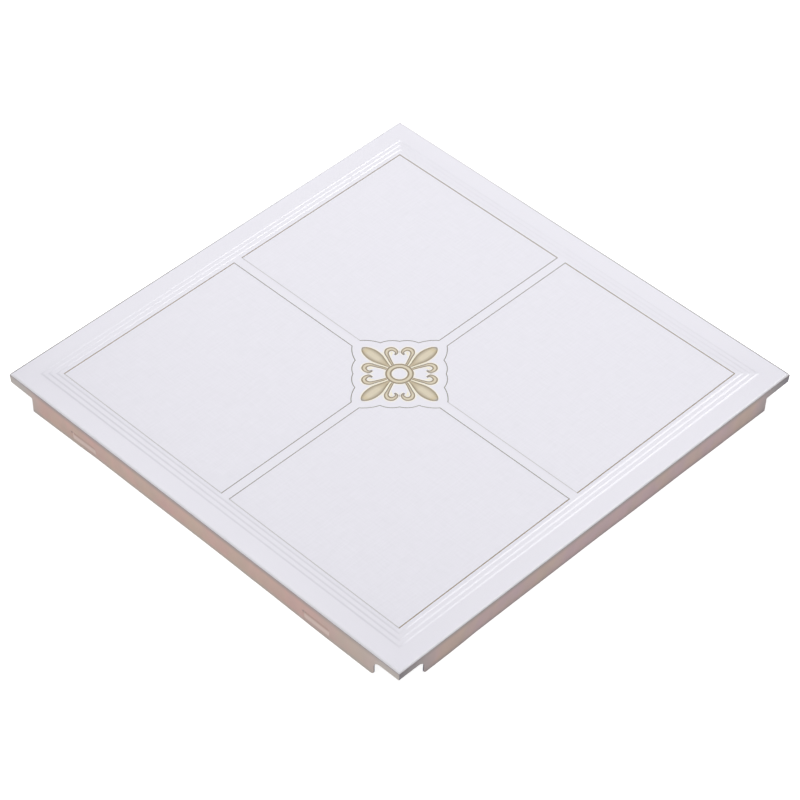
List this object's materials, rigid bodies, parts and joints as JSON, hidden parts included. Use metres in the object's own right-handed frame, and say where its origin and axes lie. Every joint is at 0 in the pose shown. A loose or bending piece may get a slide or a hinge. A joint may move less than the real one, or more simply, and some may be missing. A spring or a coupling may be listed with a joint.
{
  "type": "suspended ceiling tile",
  "caption": "Square clip-in ceiling tile: a coated sheet pan with a stepped border, printed face, folded flanges, relieved corners and pressed catch pips.",
  "frame": {"origin": "middle of the plane that the flanges' free edges lie in", "axes": "+Z out of the printed face, X across the two catch flanges, Y along them"},
  "size_m": [0.3, 0.3, 0.0167],
  "materials": {
    "coated_sheet": "semi-gloss white coat on the face, champagne back coat on flanges and underside"
  },
  "bodies": {
    "root": {"tile_pan": "coated_sheet"}
  },
  "joints": []
}
